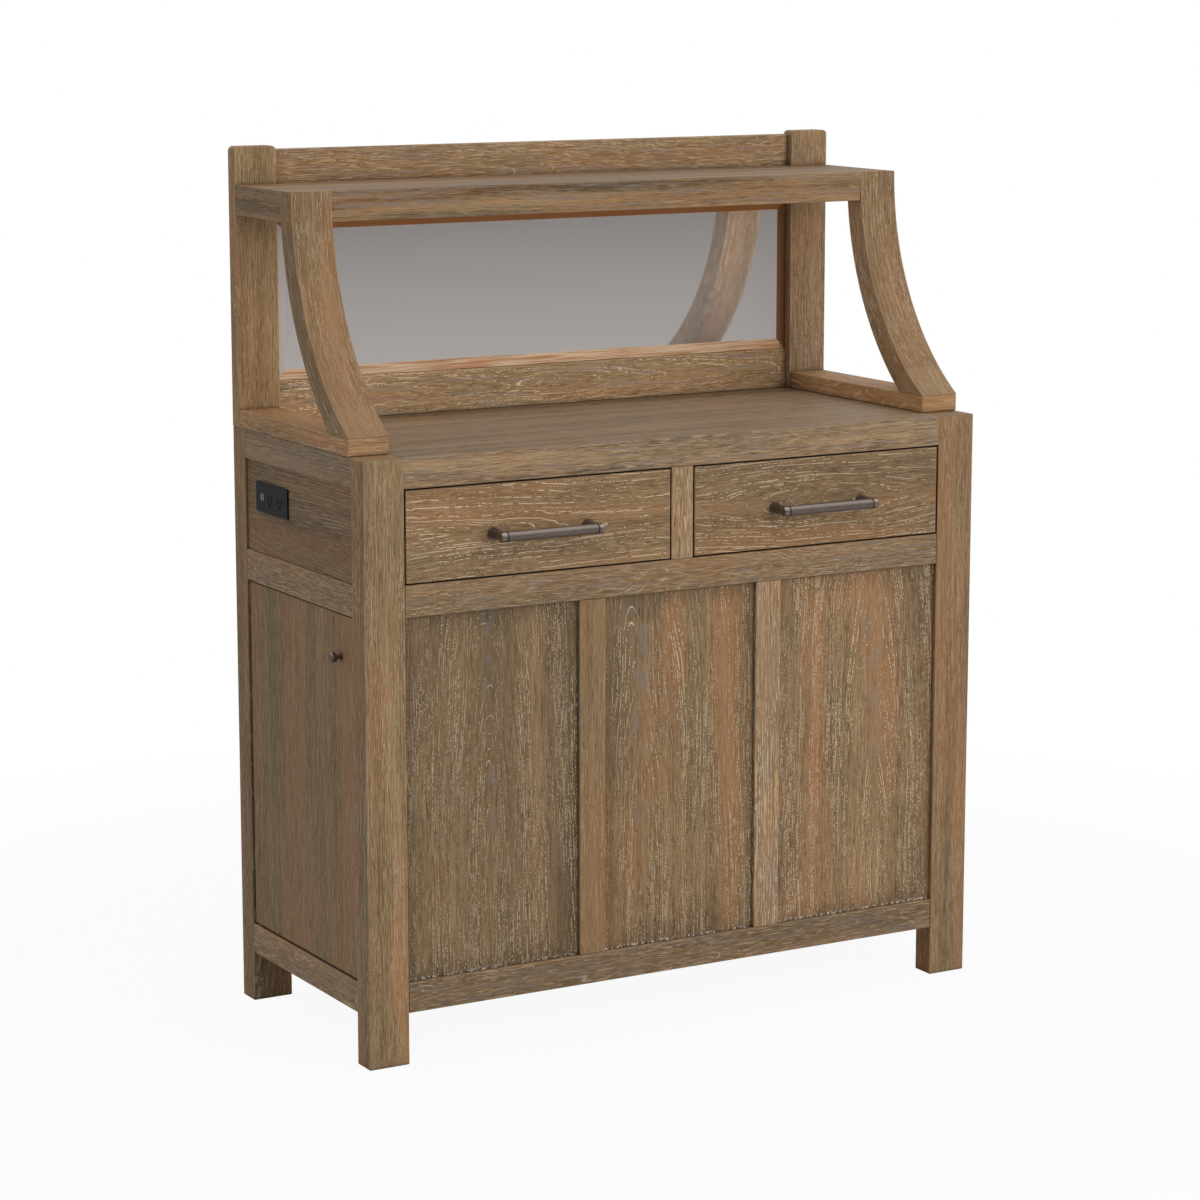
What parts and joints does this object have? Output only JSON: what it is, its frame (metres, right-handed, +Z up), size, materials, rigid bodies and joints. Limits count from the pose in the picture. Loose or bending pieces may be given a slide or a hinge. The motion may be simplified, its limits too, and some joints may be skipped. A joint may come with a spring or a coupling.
{
  "type": "buffet and hutch",
  "caption": "Oak sideboard with inset drawers, side doors and a power outlet, carrying a mirror-backed hutch shelf on curved brackets.",
  "frame": {"origin": "on the floor under the middle of the whole piece, pulls and knobs included", "axes": "+Z up, the front faces -Y, the end with the outlet faces -X"},
  "size_m": [1.105, 0.497, 1.344],
  "materials": {
    "oak": "wire-brushed oak, brown stain with pale filled pores, low sheen",
    "inner_wood": "plain lacquered board",
    "dark_bronze": "dark bronze, satin",
    "zinc_steel": "bright zinc",
    "black_plastic": "fine matt moulding",
    "nylon": "natural nylon",
    "silvered_glass": "bevelled mirror"
  },
  "bodies": {
    "case": {"front_left_leg": "oak", "front_right_leg": "oak", "rear_left_leg": "oak", "rear_right_leg": "oak", "buffet_top": "oak", "front_middle_rail": "oak", "front_bottom_rail": "oak", "rear_bottom_rail": "oak", "left_middle_rail": "oak", "right_middle_rail": "oak", "left_bottom_rail": "oak", "right_bottom_rail": "oak", "drawer_divider": "oak", "front_left_stile": "oak", "front_right_stile": "oak", "front_left_panel": "oak", "front_center_panel": "oak", "front_right_panel": "oak", "left_upper_panel": "oak", "right_upper_panel": "oak", "back_panel": "inner_wood", "cabinet_floor": "inner_wood", "drawer_partition": "inner_wood", "slide_battens": "inner_wood", "cabinet_slides": "zinc_steel", "outlet_faceplate": "black_plastic", "outlet_housing": "black_plastic", "pivot_bushes": "nylon", "door_catches": "black_plastic", "hutch_left_post": "oak", "hutch_right_post": "oak", "hutch_left_foot": "oak", "hutch_right_foot": "oak", "hutch_left_bracket": "oak", "hutch_right_bracket": "oak", "hutch_shelf": "oak", "hutch_top_rail": "oak", "hutch_splash_rail": "oak", "mirror": "silvered_glass", "mirror_back_board": "inner_wood"},
    "left_drawer": {"left_drawer_front": "oak", "left_drawer_box": "inner_wood", "left_drawer_bottom": "inner_wood", "left_drawer_pull": "dark_bronze", "left_drawer_slides": "zinc_steel"},
    "left_slide_middles": {"left_middle_slides": "zinc_steel"},
    "left_door_leaf": {"left_door": "oak", "left_pivot_pins": "zinc_steel", "left_strike_plate": "zinc_steel", "left_door_knob": "dark_bronze"},
    "right_drawer": {"right_drawer_front": "oak", "right_drawer_box": "inner_wood", "right_drawer_bottom": "inner_wood", "right_drawer_pull": "dark_bronze", "right_drawer_slides": "zinc_steel"},
    "right_slide_middles": {"right_middle_slides": "zinc_steel"},
    "right_door_leaf": {"right_door": "oak", "right_pivot_pins": "zinc_steel", "right_strike_plate": "zinc_steel", "right_door_knob": "dark_bronze"}
  },
  "joints": [
    {"name": "left_drawer_slide", "type": "slide", "parent": "case", "child": "left_drawer", "axis": [0, -1, 0], "range_m": [0, 0.3]},
    {"name": "left_middle_slide", "type": "slide", "parent": "case", "child": "left_slide_middles", "axis": [0, -1, 0], "range_m": [0, 0.15]},
    {"name": "left_door_hinge", "type": "hinge", "parent": "case", "child": "left_door_leaf", "pos_m": [-0.5295, 0.1955, 0.402], "axis": [0, 0, -1], "range_deg": [0, 105]},
    {"name": "right_drawer_slide", "type": "slide", "parent": "case", "child": "right_drawer", "axis": [0, -1, 0], "range_m": [0, 0.3]},
    {"name": "right_middle_slide", "type": "slide", "parent": "case", "child": "right_slide_middles", "axis": [0, -1, 0], "range_m": [0, 0.15]},
    {"name": "right_door_hinge", "type": "hinge", "parent": "case", "child": "right_door_leaf", "pos_m": [0.5295, 0.1955, 0.402], "axis": [0, 0, 1], "range_deg": [0, 105]}
  ],
  "couplings": [
    {"joint": "left_middle_slide", "follows": "left_drawer_slide", "ratio": 0.5},
    {"joint": "right_middle_slide", "follows": "right_drawer_slide", "ratio": 0.5}
  ]
}
